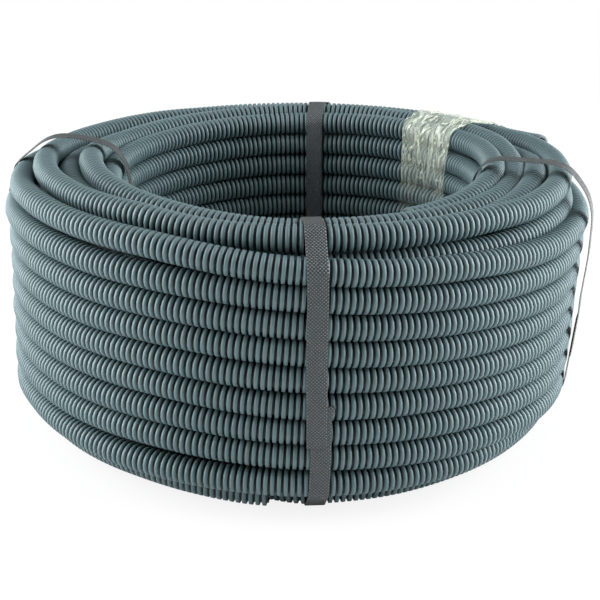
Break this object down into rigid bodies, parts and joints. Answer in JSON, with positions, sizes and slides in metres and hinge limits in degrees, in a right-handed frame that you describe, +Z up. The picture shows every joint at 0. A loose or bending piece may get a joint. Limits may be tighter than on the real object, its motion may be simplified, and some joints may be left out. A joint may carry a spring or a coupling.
{
  "type": "coil of corrugated conduit",
  "caption": "Strapped coil of grey pliable corrugated conduit, nested turns round an open middle, tied with woven-look straps and a clear film wrap.",
  "frame": {"origin": "bottom centre: on the floor, on the axis of the coil", "axes": "+Z up along the axis of the coil; the front, with the lower cut end, faces -Y; +X to the right"},
  "size_m": [0.3931, 0.3942, 0.1817],
  "materials": {
    "conduit": "satin moulded plastic, dark blue-grey",
    "strap": "embossed extruded plastic, dark grey",
    "film": "clear crumpled film"
  },
  "bodies": {
    "root": {"conduit_coil": "conduit", "strap_front": "strap", "strap_right": "strap", "strap_back": "strap", "strap_left": "strap", "film_wrap": "film"}
  },
  "joints": []
}
